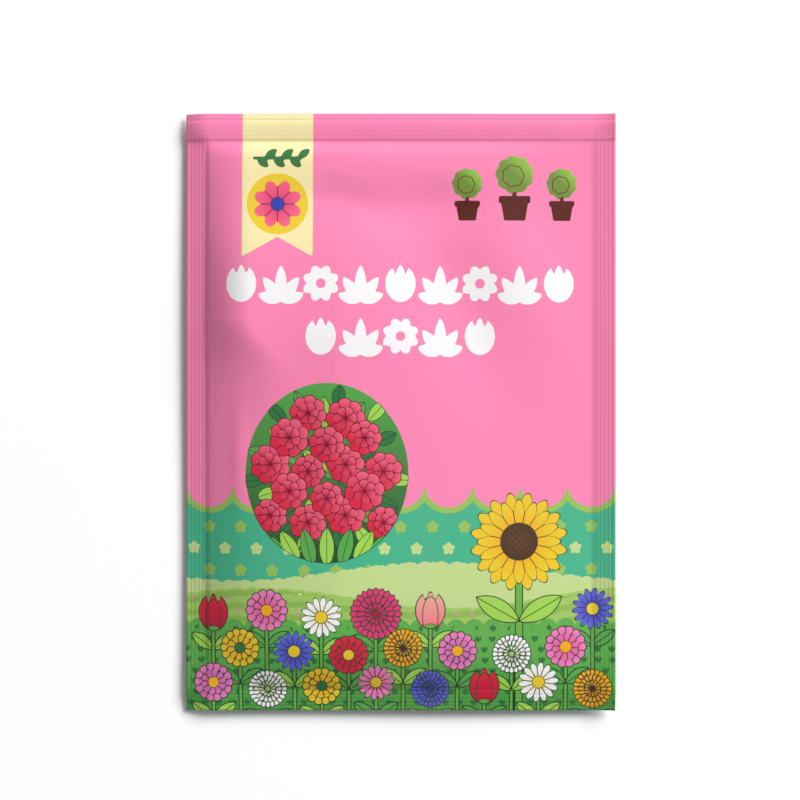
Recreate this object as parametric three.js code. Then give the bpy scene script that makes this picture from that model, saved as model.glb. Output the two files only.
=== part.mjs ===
// Flat seed packet: two plastic films welded together along four ribbed seals, with loose
// seeds inside. It lies on its back on a level surface.
// Millimetres, +Z up. X runs across the packet, +Y towards its top edge, and the origin is
// on the surface it lies on, under the packet's centre.

import * as THREE from 'three';

// Packet outline and film
const PACKET_WIDTH = 100;
const PACKET_HEIGHT = 139;
const FILM = 0.2;

// Welded seals, measured in from the packet's edges
const SIDE_SEAL = 5.5;
const TOP_SEAL = 6.6;
const BOTTOM_SEAL = 4.9;

// Ribs pressed into the seals
const RIB_PITCH = 0.92;
const SIDE_RIBS = 5;
const BOTTOM_RIBS = 5;
const RIB_RISE = 0.15;

// The top seal has one narrow rib near the edge, then a broad pressed band
const TOP_RIB = { from: 0.5, crest: 1.0, to: 1.5 };
const TOP_BAND = { from: 1.5, flatFrom: 2.1, flatTo: 5.7, to: 6.2 };

// Puffed body: the seam's level above the surface, and how far each film stands off the seam.
// The back film would stand off by BACK_BULGE, but is pressed flat where the packet lies on it.
const SEAM_LEVEL = 3;
const FRONT_BULGE = 5.5;
const BACK_BULGE = 4.4;

// How each film rises from a seal: the distance to full height, and the rise's sharpness.
// The front's rise from the left seal is short above LEFT_CHANGE and long below it. Its rise
// from the top seal is a short step, which takes TOP_STEP of it, then a long slope.
const FRONT_LEFT_UPPER = { reach: 10.5, power: 1.8 };
const FRONT_LEFT_LOWER = { reach: 38, power: 3.4 };
const LEFT_CHANGE = { from: -6, to: 22 };
const FRONT_RIGHT = { reach: 60, power: 1.3 };
const FRONT_TOP_SHORT = { reach: 3, power: 1.6 };
const FRONT_TOP_LONG = { reach: 46, power: 1.6 };
const TOP_STEP = 0.3;
const FRONT_BOTTOM = { reach: 24, power: 3 };
const BACK_SIDE = { reach: 30, power: 4 };
const BACK_END = { reach: 38, power: 4 };

// How far the free edges of the seals are bent up, or down where less than zero
const LEFT_BEND = -1.6;
const RIGHT_BEND = 0.8;
const BOTTOM_BEND = -1;

// Soft dents in the front film: centre, half-lengths along X and Y, depth. The one with a depth
// less than zero is a low ridge behind the top seal.
const DENTS = [
  { x: -24, y: 47, along: 15, up: 7, depth: 0.6 },
  { x: 16, y: 48, along: 15, up: 6.5, depth: 0.55 },
  { x: 4, y: 58.5, along: 42, up: 7, depth: -0.7 },
  { x: -25, y: 4, along: 8, up: 20, depth: 0.3 },
  { x: 31, y: 33, along: 7, up: 16, depth: 0.26 },
  { x: -13, y: -49, along: 16, up: 5, depth: 0.36 },
  { x: 22, y: -50, along: 14, up: 4.5, depth: 0.3 },
];

// Seeds lie in one layer on the back film, in staggered rows over an oval patch
const SEED = { length: 4.6, width: 3.7, height: 2.6 };
const SEED_SPACING = 6.6;
const SEED_PATCH = { x: 1, y: -16, along: 22, up: 20 };
const SEED_WANDER = 0.7;
const SEED_CLEARANCE = 0.3;
const SEED_SIDES = 8;
const SEED_RINGS = 5;
const SEED_DRAW = 4517;

const PINK = new THREE.Color(0xf98bb8);
const WHITE_INSIDE = new THREE.Color(0xf4d3df);
const SEED_BROWN = new THREE.Color(0x8a7357);

// Grid lines across the puffed body, by distance from the seal, closer where it rises steeply
const BODY_STEPS = [1.2, 2.8, 5, 8, 12, 17, 24, 33];
const BODY_LONG_STEP = 46;

/** Height at a distance, read off a list of [distance, height] corners. */
function alongProfile(profile, distance) {
  const last = profile.length - 1;
  if (distance >= profile[last][0]) {
    return profile[last][1];
  }
  const next = profile.findIndex((corner) => corner[0] > distance);
  const [d0, h0] = profile[next - 1];
  const [d1, h1] = profile[next];
  return h0 + ((h1 - h0) * (distance - d0)) / (d1 - d0);
}

/** Pressed ribs, side by side from the packet's edge, then a flat margin up to the body. */
function ribbedProfile(ribs, sealWidth) {
  const profile = [[0, 0]];
  for (let rib = 0; rib < ribs; rib += 1) {
    profile.push([(rib + 0.5) * RIB_PITCH, RIB_RISE]);
    profile.push([(rib + 1) * RIB_PITCH, 0]);
  }
  profile.push([sealWidth, 0]);
  return profile;
}

const SIDE_PROFILE = ribbedProfile(SIDE_RIBS, SIDE_SEAL);
const BOTTOM_PROFILE = ribbedProfile(BOTTOM_RIBS, BOTTOM_SEAL);
const TOP_PROFILE = [
  [0, 0],
  [TOP_RIB.from, 0],
  [TOP_RIB.crest, RIB_RISE],
  [TOP_RIB.to, 0],
  [TOP_BAND.flatFrom, RIB_RISE],
  [TOP_BAND.flatTo, RIB_RISE],
  [TOP_BAND.to, 0],
  [TOP_SEAL, 0],
];

const HALF_WIDTH = PACKET_WIDTH / 2;
const HALF_HEIGHT = PACKET_HEIGHT / 2;
const BODY_HALF_WIDTH = HALF_WIDTH - SIDE_SEAL;
const BODY_TOP = HALF_HEIGHT - TOP_SEAL;
const BODY_BOTTOM = -HALF_HEIGHT + BOTTOM_SEAL;

/** Pressed relief of the seals at a point; where two seals cross, the higher one shows. */
function sealRelief(x, y) {
  const side = alongProfile(SIDE_PROFILE, HALF_WIDTH - Math.abs(x));
  const top = alongProfile(TOP_PROFILE, HALF_HEIGHT - y);
  const bottom = alongProfile(BOTTOM_PROFILE, HALF_HEIGHT + y);
  return Math.max(side, top, bottom);
}

/** Steep at the seal, level once the reach is passed: 1 - (1 - distance / reach)^power. */
function edgeRise(distance, { reach, power }) {
  const left = 1 - THREE.MathUtils.clamp(distance / reach, 0, 1);
  return 1 - left ** power;
}

/** How puffed the front is at a point: 0 on the seals, 1 in the middle. */
function frontPuff(x, y) {
  const lower = 1 - THREE.MathUtils.smoothstep(y, LEFT_CHANGE.from, LEFT_CHANGE.to);
  const left = edgeRise(BODY_HALF_WIDTH + x, {
    reach: THREE.MathUtils.lerp(FRONT_LEFT_UPPER.reach, FRONT_LEFT_LOWER.reach, lower),
    power: THREE.MathUtils.lerp(FRONT_LEFT_UPPER.power, FRONT_LEFT_LOWER.power, lower),
  });
  const right = edgeRise(BODY_HALF_WIDTH - x, FRONT_RIGHT);
  const topShort = edgeRise(BODY_TOP - y, FRONT_TOP_SHORT);
  const topLong = edgeRise(BODY_TOP - y, FRONT_TOP_LONG);
  const top = THREE.MathUtils.lerp(topLong, topShort, TOP_STEP);
  const bottom = edgeRise(y - BODY_BOTTOM, FRONT_BOTTOM);
  return left * right * top * bottom;
}

/** How puffed the back is at a point, the same from both sides and from both ends. */
function backPuff(x, y) {
  const across = edgeRise(BODY_HALF_WIDTH - Math.abs(x), BACK_SIDE);
  const along = edgeRise(Math.min(BODY_TOP - y, y - BODY_BOTTOM), BACK_END);
  return across * along;
}

/** Level of the seam: flat in the body, and bent evenly across each seal. */
function seamLevel(x, y) {
  const side = THREE.MathUtils.clamp((Math.abs(x) - BODY_HALF_WIDTH) / SIDE_SEAL, 0, 1);
  const end = THREE.MathUtils.clamp((BODY_BOTTOM - y) / BOTTOM_SEAL, 0, 1);
  return SEAM_LEVEL + side * (x < 0 ? LEFT_BEND : RIGHT_BEND) + end * BOTTOM_BEND;
}

/** Height of the front film's inside above the seam: the puffed body less its soft dents. */
function frontRise(x, y) {
  const body = frontPuff(x, y);
  let dents = 0;
  for (const dent of DENTS) {
    const reach = ((x - dent.x) / dent.along) ** 2 + ((y - dent.y) / dent.up) ** 2;
    dents += dent.depth * Math.exp(-reach);
  }
  return FRONT_BULGE * body - dents * Math.min(1, 2 * body);
}

/** Drop of the back film's inside below the seam, up to where the surface stops it. */
function backDrop(x, y) {
  return Math.min(BACK_BULGE * backPuff(x, y), SEAM_LEVEL - FILM);
}

/** Grid lines from one edge to the other: both seals' profile corners and the body's steps. */
function gridLines(lowEdge, highEdge, lowProfile, highProfile, steps) {
  const lowCorners = lowProfile.map(([distance]) => lowEdge + distance);
  const highCorners = highProfile.map(([distance]) => highEdge - distance);
  const bodyLow = lowCorners[lowCorners.length - 1];
  const bodyHigh = highCorners[highCorners.length - 1];
  const inner = [(bodyLow + bodyHigh) / 2];
  for (const step of steps) {
    inner.push(bodyLow + step, bodyHigh - step);
  }
  return [...lowCorners, ...highCorners, ...inner].sort((a, b) => a - b);
}

const COLUMNS = gridLines(-HALF_WIDTH, HALF_WIDTH, SIDE_PROFILE, SIDE_PROFILE, BODY_STEPS);
const ROWS = gridLines(-HALF_HEIGHT, HALF_HEIGHT, BOTTOM_PROFILE, TOP_PROFILE,
  [...BODY_STEPS, BODY_LONG_STEP]);

/** A film: a flat box whose two faces are drawn to the given heights at every grid crossing. */
function filmGeometry(lowerFace, upperFace) {
  const across = COLUMNS.length - 1;
  const along = ROWS.length - 1;
  const geometry = new THREE.BoxGeometry(1, 1, 1, across, along, 1);
  const position = geometry.attributes.position;
  for (let i = 0; i < position.count; i += 1) {
    const x = COLUMNS[Math.round((position.getX(i) + 0.5) * across)];
    const y = ROWS[Math.round((position.getY(i) + 0.5) * along)];
    const face = position.getZ(i) > 0 ? upperFace : lowerFace;
    position.setXYZ(i, x, y, face(x, y));
  }
  geometry.computeVertexNormals();
  return geometry;
}

function makeFrontFilm() {
  const geometry = filmGeometry(
    (x, y) => seamLevel(x, y) + frontRise(x, y),
    (x, y) => seamLevel(x, y) + frontRise(x, y) + FILM + sealRelief(x, y),
  );
  const finish = new THREE.MeshStandardMaterial({ color: PINK, roughness: 0.35, metalness: 0 });
  const mesh = new THREE.Mesh(geometry, finish);
  mesh.name = 'front_film';
  return mesh;
}

function makeBackFilm() {
  const geometry = filmGeometry(
    (x, y) => seamLevel(x, y) - backDrop(x, y) - FILM - sealRelief(x, y),
    (x, y) => seamLevel(x, y) - backDrop(x, y),
  );
  const finish = new THREE.MeshStandardMaterial({
    color: WHITE_INSIDE,
    roughness: 0.35,
    metalness: 0,
  });
  const mesh = new THREE.Mesh(geometry, finish);
  mesh.name = 'back_film';
  return mesh;
}

/** Numbers from 0 to 1 that are the same on every run. */
function makeDraw(start) {
  let state = start;
  return () => {
    state = (state * 1664525 + 1013904223) % 4294967296;
    return state / 4294967296;
  };
}

/** Centres of the staggered rows that fall inside the oval patch. */
function seedCentres() {
  const centres = [];
  const rowGap = (SEED_SPACING * Math.sqrt(3)) / 2;
  const rowReach = Math.ceil(SEED_PATCH.up / rowGap);
  const columnReach = Math.ceil(SEED_PATCH.along / SEED_SPACING) + 1;
  for (let row = -rowReach; row <= rowReach; row += 1) {
    const shift = row % 2 === 0 ? 0 : SEED_SPACING / 2;
    for (let column = -columnReach; column <= columnReach; column += 1) {
      const dx = column * SEED_SPACING + shift;
      const dy = row * rowGap;
      const reach = (dx / SEED_PATCH.along) ** 2 + (dy / SEED_PATCH.up) ** 2;
      if (reach <= 1) {
        centres.push(new THREE.Vector2(SEED_PATCH.x + dx, SEED_PATCH.y + dy));
      }
    }
  }
  return centres;
}

/** A plump seed, blunt at one end, lying flat. */
function seedGeometry() {
  const geometry = new THREE.SphereGeometry(0.5, SEED_SIDES, SEED_RINGS);
  geometry.rotateX(Math.PI / 2);
  const position = geometry.attributes.position;
  for (let i = 0; i < position.count; i += 1) {
    const lengthwise = position.getX(i);
    const taper = 1 - 0.25 * lengthwise;
    position.setXYZ(i, lengthwise * SEED.length, position.getY(i) * SEED.width * taper,
      position.getZ(i) * SEED.height);
  }
  geometry.computeVertexNormals();
  return geometry;
}

function makeSeeds() {
  const draw = makeDraw(SEED_DRAW);
  const finish = new THREE.MeshStandardMaterial({
    color: SEED_BROWN,
    roughness: 0.55,
    metalness: 0,
  });
  const insideFloor = FILM + SEED_CLEARANCE;
  return seedCentres().map((centre, index) => {
    const seed = new THREE.Mesh(seedGeometry(), finish);
    seed.name = `seed_${String(index + 1).padStart(2, '0')}`;
    seed.position.set(
      centre.x + (2 * draw() - 1) * SEED_WANDER,
      centre.y + (2 * draw() - 1) * SEED_WANDER,
      insideFloor + SEED.height / 2,
    );
    seed.rotation.z = 2 * Math.PI * draw();
    return seed;
  });
}

const seeds = new THREE.Group();
seeds.add(...makeSeeds());

const packet = new THREE.Group();
packet.add(makeFrontFilm(), makeBackFilm(), seeds);

export default packet;
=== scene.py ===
"""A flat seed packet of two printed plastic films, lying on its back on a pale table.

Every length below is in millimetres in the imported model's frame: +X across the packet, +Y
towards its top edge, +Z up out of its printed front. Lengths become metres in a mesh.
"""
import math

import bpy
import numpy as np
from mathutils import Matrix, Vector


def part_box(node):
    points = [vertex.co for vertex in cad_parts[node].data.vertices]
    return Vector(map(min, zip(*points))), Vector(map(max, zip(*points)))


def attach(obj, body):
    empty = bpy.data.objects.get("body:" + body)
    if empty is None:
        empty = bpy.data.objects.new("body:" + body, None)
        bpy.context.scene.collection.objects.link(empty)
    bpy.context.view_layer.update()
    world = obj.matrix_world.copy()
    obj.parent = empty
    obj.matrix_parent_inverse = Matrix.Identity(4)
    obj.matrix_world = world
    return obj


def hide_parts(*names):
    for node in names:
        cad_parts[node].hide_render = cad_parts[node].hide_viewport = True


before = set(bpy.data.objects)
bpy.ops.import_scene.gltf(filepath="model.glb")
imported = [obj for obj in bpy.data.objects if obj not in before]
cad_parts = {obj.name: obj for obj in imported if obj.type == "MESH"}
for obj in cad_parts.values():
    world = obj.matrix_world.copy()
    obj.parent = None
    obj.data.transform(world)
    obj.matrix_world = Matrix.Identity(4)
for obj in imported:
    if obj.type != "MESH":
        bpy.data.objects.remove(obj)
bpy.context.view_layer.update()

MM = 0.001

# ---------------------------------------------------------------- sizes from the solids

HALF_WIDTH, HALF_HEIGHT = np.array(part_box("front_film")[1])[:2] / MM

# The same named sizes as the solids
SEAM_LEVEL = 3
FILM = 0.2
SIDE_SEAL, TOP_SEAL, BOTTOM_SEAL = 5.5, 6.6, 4.9
RIB_PITCH, SIDE_RIBS, BOTTOM_RIBS = 0.92, 5, 5
TOP_RIB = (0.5, 1.5)  # the narrow rib along the top edge: from and to, down from the edge
FRONT_BULGE, BACK_BULGE = 5.5, 4.4
SIDE_REACH, END_REACH, RISE_POWER = 30, 38, 4

# What is pressed into the seals, finer than in the solids
OUTER_RIB_RISE = 0.11
LEFT_RIB_RISE, RIGHT_RIB_RISE, BOTTOM_RIB_RISE, TOP_RIB_RISE = 0.06, 0.045, 0.06, 0.08
TOP_BAND = (1.5, 2.1, 5.7, 6.5)  # from the top edge: its rise's two ends, then its fall's
BAND_RISE = 0.15
RIBS_OVER_BAND = 0.5  # the share of the side ribs' height that also shows on the band
TOP_LINES = (4.1, 5.7, 0.8)  # faint grooves along the band: from, to and pitch
TOP_LINE_DEPTH = 0.03

# The front's finer shape: reach and power of its rise from each seal. From the left seal it is
# short and sharp in the upper part, and long and soft in the lower part.
LEFT_UPPER, LEFT_LOWER = (10.5, 1.8), (38, 3.4)
LEFT_CHANGE = (-6, 22)  # heights up the packet between which the one passes into the other
LEFT_FOOT = 1.0  # how far out over the left seal the front begins to rise
RIGHT_RISE = (60, 1.3)
TOP_STEP = 0.22  # the share of the rise from the top seal that is short and sharp
TOP_RISE, TOP_SLOPE = (3.0, 1.6), (46, 1.3)
BOTTOM_RISE = (24, 3.0)

BODY_HALF_WIDTH = HALF_WIDTH - SIDE_SEAL
BODY_TOP = HALF_HEIGHT - TOP_SEAL
BODY_BOTTOM = -HALF_HEIGHT + BOTTOM_SEAL

# Soft dents in the front film: centre x, y, half-lengths along X and Y, depth. A depth less
# than zero is a soft swelling, here and in the next two tables
DENTS = (
    (-24, 47, 15, 7, 0.60),
    (16, 48, 15, 6.5, 0.55),
    (4, 58.5, 42, 7, -0.70),
    (-25, 4, 8, 20, 0.30),
    (31, 33, 7, 16, 0.26),
    (-13, -49, 16, 5, 0.36),
    (22, -50, 14, 4.5, 0.30),
)
# Smaller ones that only the fine surface has
FINE_DENTS = (
    (-37.5, -10, 2.2, 12, -0.30),
    (37, 52, 1.6, 22, 0.10),
    (38.5, -20, 1.8, 26, 0.08),
    (-4, 30, 10, 13, -0.12),
    (4, -61, 22, 2.2, 0.10),
    (4, 60, 42, 5, 0.30),
)
# Long soft folds: centre x, y, degrees the length is turned from X, half-length, half-width, depth
FOLDS = (
    (13.5, 24, -61, 26, 10, 0.75),
    (31.0, 34, -61, 24, 10, -1.60),
    (-14, 50.5, -12, 14, 5.5, 0.75),
    (9, 49.5, 11, 14, 6, 0.85),
    (-26, 58.5, 14, 9, 2.6, -0.22),
    (2, 57.5, -9, 11, 2.6, -0.25),
    (-23, -12, 80, 16, 5.5, 0.50),
)
SEAL_WAVE = 0.35  # how far a free seal waves, from its lowest to its highest
SIDE_WAVELENGTH, END_WAVELENGTH = 93, 71
WAVE_SHOULDER = 9  # how far inside the seals the waves begin
# How far the free edges of the seals bend up, or down where less than zero
LEFT_BEND, RIGHT_BEND, BOTTOM_BEND = -1.6, 0.8, -1.0
TOP_ARCH = 0.28  # how far the top seal bows up between the body and its free edge
REST_EASE = 0.12  # how softly the back film comes to its level patch
SEAM_GAP = 0.01  # kept between each film's inner face and the middle of the weld

# ---------------------------------------------------------------- colours

INK_DEPTH = 0.95  # the light is a little stronger than full white


def ink(red, green, blue):
    """A colour given as the 0 to 255 screen values it shows under this studio's light."""
    screen = np.array((red, green, blue)) / 255
    linear = np.where(screen <= 0.04045, screen / 12.92, ((screen + 0.055) / 1.055) ** 2.4)
    return tuple(INK_DEPTH * linear)


PINK = ink(250, 136, 180)
TEAL = ink(68, 180, 139)
LIME = ink(150, 192, 92)
CREAM = ink(244, 231, 172)
WHITE = ink(246, 244, 244)
YELLOW = ink(234, 202, 46)
ORANGE = ink(240, 172, 24)
AMBER = ink(206, 132, 18)
LIGHT_HILL = ink(192, 216, 141)
NEAR_HILL = ink(160, 200, 98)
FURROW = ink(142, 186, 84)
BED_GREEN = ink(92, 174, 76)
STEM_GREEN = ink(104, 176, 70)
LEAF_LIME = ink(158, 212, 82)
LEAF_GREEN = ink(88, 168, 78)
LEAF_DEEP = ink(46, 118, 62)
SHADE_GREEN = ink(34, 84, 46)
SPROUT = ink(112, 146, 58)
RED = ink(222, 42, 66)
CRIMSON = ink(176, 24, 62)
ROSE = ink(244, 104, 132)
SALMON = ink(228, 168, 148)
CANDY = ink(236, 128, 190)
MAGENTA = ink(218, 60, 116)
DEEP_MAGENTA = ink(178, 34, 88)
BLOSSOM_LINE = ink(104, 14, 40)
VIOLET = ink(176, 88, 166)
BLUE = ink(92, 98, 214)
NIGHT_BLUE = ink(44, 62, 170)
BROWN = ink(84, 34, 16)
BARK = ink(120, 62, 30)
INK_LINE = ink(26, 66, 40)
INSIDE = ink(226, 222, 224)
MOTTLE = ink(196, 120, 150)
SEED_DARK, SEED_LIGHT = ink(128, 100, 72), ink(168, 142, 108)
SEED_SPECK, SEED_CREAM = ink(70, 48, 32), ink(214, 196, 160)
BOARD_TINTS = (0.98, 0.98, 0.985), (0.99, 0.99, 0.99)

# ---------------------------------------------------------------- the packet's surface


def rise(distance, reach, power=RISE_POWER):
    """1 - (1 - distance / reach) ^ power: steep at the seal, level past the reach."""
    return 1 - (1 - np.clip(distance / reach, 0, 1)) ** power


def puff(x, y):
    """The product of the rises from the side seals and from the end seals."""
    across = rise(BODY_HALF_WIDTH - np.abs(x), SIDE_REACH)
    along = rise(np.minimum(BODY_TOP - y, y - BODY_BOTTOM), END_REACH)
    return across * along


def dents(x, y, table):
    """A sum of bell curves, depth * exp(-(dx / a)^2 - (dy / b)^2)."""
    total = np.zeros_like(x)
    for centre_x, centre_y, along, up, depth in table:
        reach = ((x - centre_x) / along) ** 2 + ((y - centre_y) / up) ** 2
        total += depth * np.exp(-reach)
    return total


def folds(x, y, table):
    """A sum of turned bell curves, as dents with the axes along and across each fold."""
    total = np.zeros_like(x)
    for centre_x, centre_y, turn, half_length, half_width, depth in table:
        cos, sin = math.cos(math.radians(turn)), math.sin(math.radians(turn))
        along = (x - centre_x) * cos + (y - centre_y) * sin
        across = (y - centre_y) * cos - (x - centre_x) * sin
        total += depth * np.exp(-((along / half_length) ** 2) - (across / half_width) ** 2)
    return total


def front_puff(x, y):
    """As puff, with each side's own reach and power."""
    lower = 1 - smooth_step(y, *LEFT_CHANGE)
    reach, power = (
        high + (low - high) * lower for high, low in zip(LEFT_UPPER, LEFT_LOWER)
    )
    left = rise(BODY_HALF_WIDTH + LEFT_FOOT + x, reach, power)
    right = rise(BODY_HALF_WIDTH - x, *RIGHT_RISE)
    short, long = rise(BODY_TOP - y, *TOP_RISE), rise(BODY_TOP - y, *TOP_SLOPE)
    top = TOP_STEP * short + (1 - TOP_STEP) * long
    bottom = rise(y - BODY_BOTTOM, *BOTTOM_RISE)
    return left * right * top * bottom


def front_rise(x, y):
    """bulge * puff, less the dents and folds, which fade out where the puff is under a half."""
    body = front_puff(x, y)
    soft = dents(x, y, DENTS) + dents(x, y, FINE_DENTS) + folds(x, y, FOLDS)
    return FRONT_BULGE * body - soft * np.minimum(1, 2 * body)


def back_drop(x, y):
    """bulge * puff, eased into the level that stops it: stop - (s + sqrt(s^2 + ease^2)) / 2.

    s is the room that is left, stop - bulge * puff.
    """
    stop = SEAM_LEVEL - FILM
    free = BACK_BULGE * puff(x, y)
    short = stop - free
    level = (short + np.sqrt(short**2 + REST_EASE**2)) / 2
    return np.where(short > 0.9 * stop, free, stop - level)


def smooth_step(value, low, high):
    """3 t^2 - 2 t^3 of how far the value is from low to high, held to 0 and 1."""
    t = np.clip((value - low) / (high - low), 0, 1)
    return t * t * (3 - 2 * t)


def rib_row(distance, count, inner_rise):
    """Rounded ribs side by side from the edge in, the outermost one the highest.

    Each is rise * sin^2(pi * distance / pitch) over its own pitch.
    """
    inside = (distance > 0) & (distance < count * RIB_PITCH)
    height = np.where(distance < RIB_PITCH, OUTER_RIB_RISE, inner_rise)
    return np.where(inside, height * np.sin(np.pi * distance / RIB_PITCH) ** 2, 0)


def seal_relief(x, y):
    """The pressed pattern of the four seals: the highest of the ribs and bands that cross."""
    side_rise = np.where(x < 0, LEFT_RIB_RISE, RIGHT_RIB_RISE)
    side = rib_row(HALF_WIDTH - np.abs(x), SIDE_RIBS, side_rise)
    bottom = rib_row(HALF_HEIGHT + y, BOTTOM_RIBS, BOTTOM_RIB_RISE)
    depth = HALF_HEIGHT - y
    rib_start, rib_end = TOP_RIB
    along_rib = np.clip((depth - rib_start) / (rib_end - rib_start), 0, 1)
    narrow = TOP_RIB_RISE * np.sin(np.pi * along_rib) ** 2
    band = BAND_RISE * smooth_step(depth, *TOP_BAND[:2]) * (1 - smooth_step(depth, *TOP_BAND[2:]))
    lines_start, lines_end, lines_pitch = TOP_LINES
    in_lines = np.clip(depth, lines_start, lines_end) - lines_start
    band = band - TOP_LINE_DEPTH * np.sin(np.pi * in_lines / lines_pitch) ** 2
    return np.maximum.reduce([side, bottom, narrow, band + RIBS_OVER_BAND * side])


def seal_wave(x, y):
    """How far the seam leaves its level: waves along the seals, their bends and the top arch.

    The waves are sines along each seal, growing from nothing at the body's shoulder. A bend
    grows evenly outwards, and as the square of that in the top seal. The arch is half a sine
    wave across the top seal.
    """
    by_side = smooth_step(np.abs(x), BODY_HALF_WIDTH - WAVE_SHOULDER, HALF_WIDTH)
    by_end = smooth_step(np.abs(y), HALF_HEIGHT - BOTTOM_SEAL - WAVE_SHOULDER, HALF_HEIGHT)
    along_side = np.sin(2 * np.pi * y / SIDE_WAVELENGTH + 0.6 + 0.4 * np.sign(x))
    along_end = np.sin(2 * np.pi * x / END_WAVELENGTH + 1.1 + 0.5 * np.sign(y))
    outward = np.clip((np.abs(x) - BODY_HALF_WIDTH) / SIDE_SEAL, 0, 1)
    in_top_seal = smooth_step(y, BODY_TOP - 1, BODY_TOP + 3)
    bend = np.where(x < 0, LEFT_BEND, RIGHT_BEND) * outward ** (1 + in_top_seal)
    bend = bend + BOTTOM_BEND * np.clip((BODY_BOTTOM - y) / BOTTOM_SEAL, 0, 1)
    bend = bend + TOP_ARCH * np.sin(np.pi * np.clip((y - BODY_TOP) / TOP_SEAL, 0, 1))
    return SEAL_WAVE * (by_side * along_side + by_end * along_end) / 2 + bend


def front_outside(x, y):
    """Seam, rise, film thickness and relief, added up."""
    return SEAM_LEVEL + seal_wave(x, y) + front_rise(x, y) + FILM + seal_relief(x, y)


def front_inside(x, y):
    """Seam, rise and the weld's gap, added up."""
    return SEAM_LEVEL + seal_wave(x, y) + front_rise(x, y) + SEAM_GAP


def back_outside(x, y):
    """Seam less drop, film thickness and relief."""
    return SEAM_LEVEL + seal_wave(x, y) - back_drop(x, y) - FILM - seal_relief(x, y)


def back_inside(x, y):
    """Seam less drop and the weld's gap."""
    return SEAM_LEVEL + seal_wave(x, y) - back_drop(x, y) - SEAM_GAP


# ---------------------------------------------------------------- shapes of the print
# Each gives the distance to a shape's edge, in millimetres, less than zero inside it.

FAR = 9.0
TINY = 1e-6
GOLDEN_TURN = 2.39996  # radians between one leaf and the next in an even scatter
SLANT = 0.8  # turns a height over a sloping line into about the distance from it


def about(x, y, centre, turn=0.0):
    """Coordinates round a centre, in axes turned anticlockwise."""
    dx, dy = x - centre[0], y - centre[1]
    cos, sin = math.cos(turn), math.sin(turn)
    return dx * cos + dy * sin, dy * cos - dx * sin


def disc(u, v, radius):
    """The distance from the middle, less the radius."""
    return np.hypot(u, v) - radius


def oval(u, v, a, b):
    """k (k - 1) / g, with k the radius in the oval's own units and g its gradient."""
    k = np.hypot(u / a, v / b)
    g = np.hypot(u / a**2, v / b**2)
    return np.where(g > TINY, k * (k - 1) / np.maximum(g, TINY), -min(a, b))


def block(u, v, half_u, half_v, corner=0.0):
    """A rectangle with rounded corners."""
    a = np.abs(u) - half_u + corner
    b = np.abs(v) - half_v + corner
    return np.hypot(np.maximum(a, 0), np.maximum(b, 0)) + np.minimum(np.maximum(a, b), 0) - corner


def leaf(u, v, length, width):
    """A pointed leaf from (0, 0) up to (0, length): where two equal discs overlap."""
    half = length / 2
    radius = (half**2 + (width / 2) ** 2) / width
    off = radius - width / 2
    return np.maximum(np.hypot(u + off, v - half), np.hypot(u - off, v - half)) - radius


def stalk(u, v, height, width):
    """An upright line from (0, 0) up to (0, height)."""
    return np.maximum(np.abs(u) - width / 2, np.maximum(-v, v - height))


def petal_ring(u, v, radius, petals, notch, turn=0.0, sharp=1.0):
    """radius * (1 - notch * (1 - |cos(n t / 2)| ^ sharp)): a rim with one lobe a petal."""
    angle = np.arctan2(v, u) - turn
    lobe = np.abs(np.cos(petals * angle / 2)) ** sharp
    return (np.hypot(u, v) - radius * (1 - notch * (1 - lobe))) * (1 - 0.3 * notch)


def petal_seams(u, v, petals, turn=0.0):
    """Changes sign at each line between an even number of petals: r * cos(n t / 2) * 2 / n."""
    return np.hypot(u, v) * np.cos(petals * (np.arctan2(v, u) - turn) / 2) * 2 / petals


def crossing(a, b):
    """a b / hypot(a, b): changes sign at the lines of both."""
    return a * b / np.maximum(np.hypot(a, b), TINY)


def wave_lines(value, pitch):
    """Changes sign every pitch: pitch / pi * sin(pi * value / pitch)."""
    return pitch / np.pi * np.sin(np.pi * value / pitch)


class Plate:
    """The ink that one printing plate lays down.

    edge is the distance to the ink's edge, less than zero on the ink. tint is the ink's colour
    and line changes sign where a fine line is drawn; both belong to the nearest shape.
    """

    def __init__(self, name, x, y, outline=0.0, lines=0.0, line_colour=INK_LINE):
        self.name, self.x, self.y = name, x, y
        self.outline, self.lines, self.line_colour = outline, lines, line_colour
        self.edge = np.full(x.shape, FAR)
        self.line = np.full(x.shape, FAR)
        self.tint = np.ones((x.size, 3))

    def add(self, edge, tint, line=None):
        """Adds a shape. tint is one colour, or one a point."""
        nearer = edge < self.edge
        self.edge = np.where(nearer, edge, self.edge)
        tint = np.broadcast_to(np.asarray(tint, float), self.tint.shape)
        self.tint = np.where(nearer[:, None], tint, self.tint)
        self.line = np.where(nearer, FAR if line is None else line, self.line)

    def keep_inside(self, edge):
        """Trims all its ink to another shape."""
        self.edge = np.maximum(self.edge, edge)


def blend(low, high, share):
    """Colours from low to high by a share for each point."""
    share = np.clip(share, 0, 1)[:, None]
    return np.asarray(low) * (1 - share) + np.asarray(high) * share


# ---------------------------------------------------------------- flowers
# Each draws one head on the plates "heads" and "hearts": middle, size, tint, deep tint, heart.


def zinnia(plates, centre, radius, tint, deep, heart):
    """A ring of petals round a smaller ring: the rims and the petals' sides are drawn."""
    heads = plates["heads"]
    u, v = about(heads.x, heads.y, centre)
    inner = petal_ring(u, v, 0.66 * radius, 10, 0.14, turn=0.2)
    sides = np.where(inner < 0, petal_seams(u, v, 10, turn=0.2), petal_seams(u, v, 14))
    shade = blend(deep, tint, np.hypot(u, v) / radius + 0.1)
    heads.add(petal_ring(u, v, radius, 14, 0.10), shade, crossing(inner, sides))
    plates["hearts"].add(disc(u, v, 0.28 * radius), heart)


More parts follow.
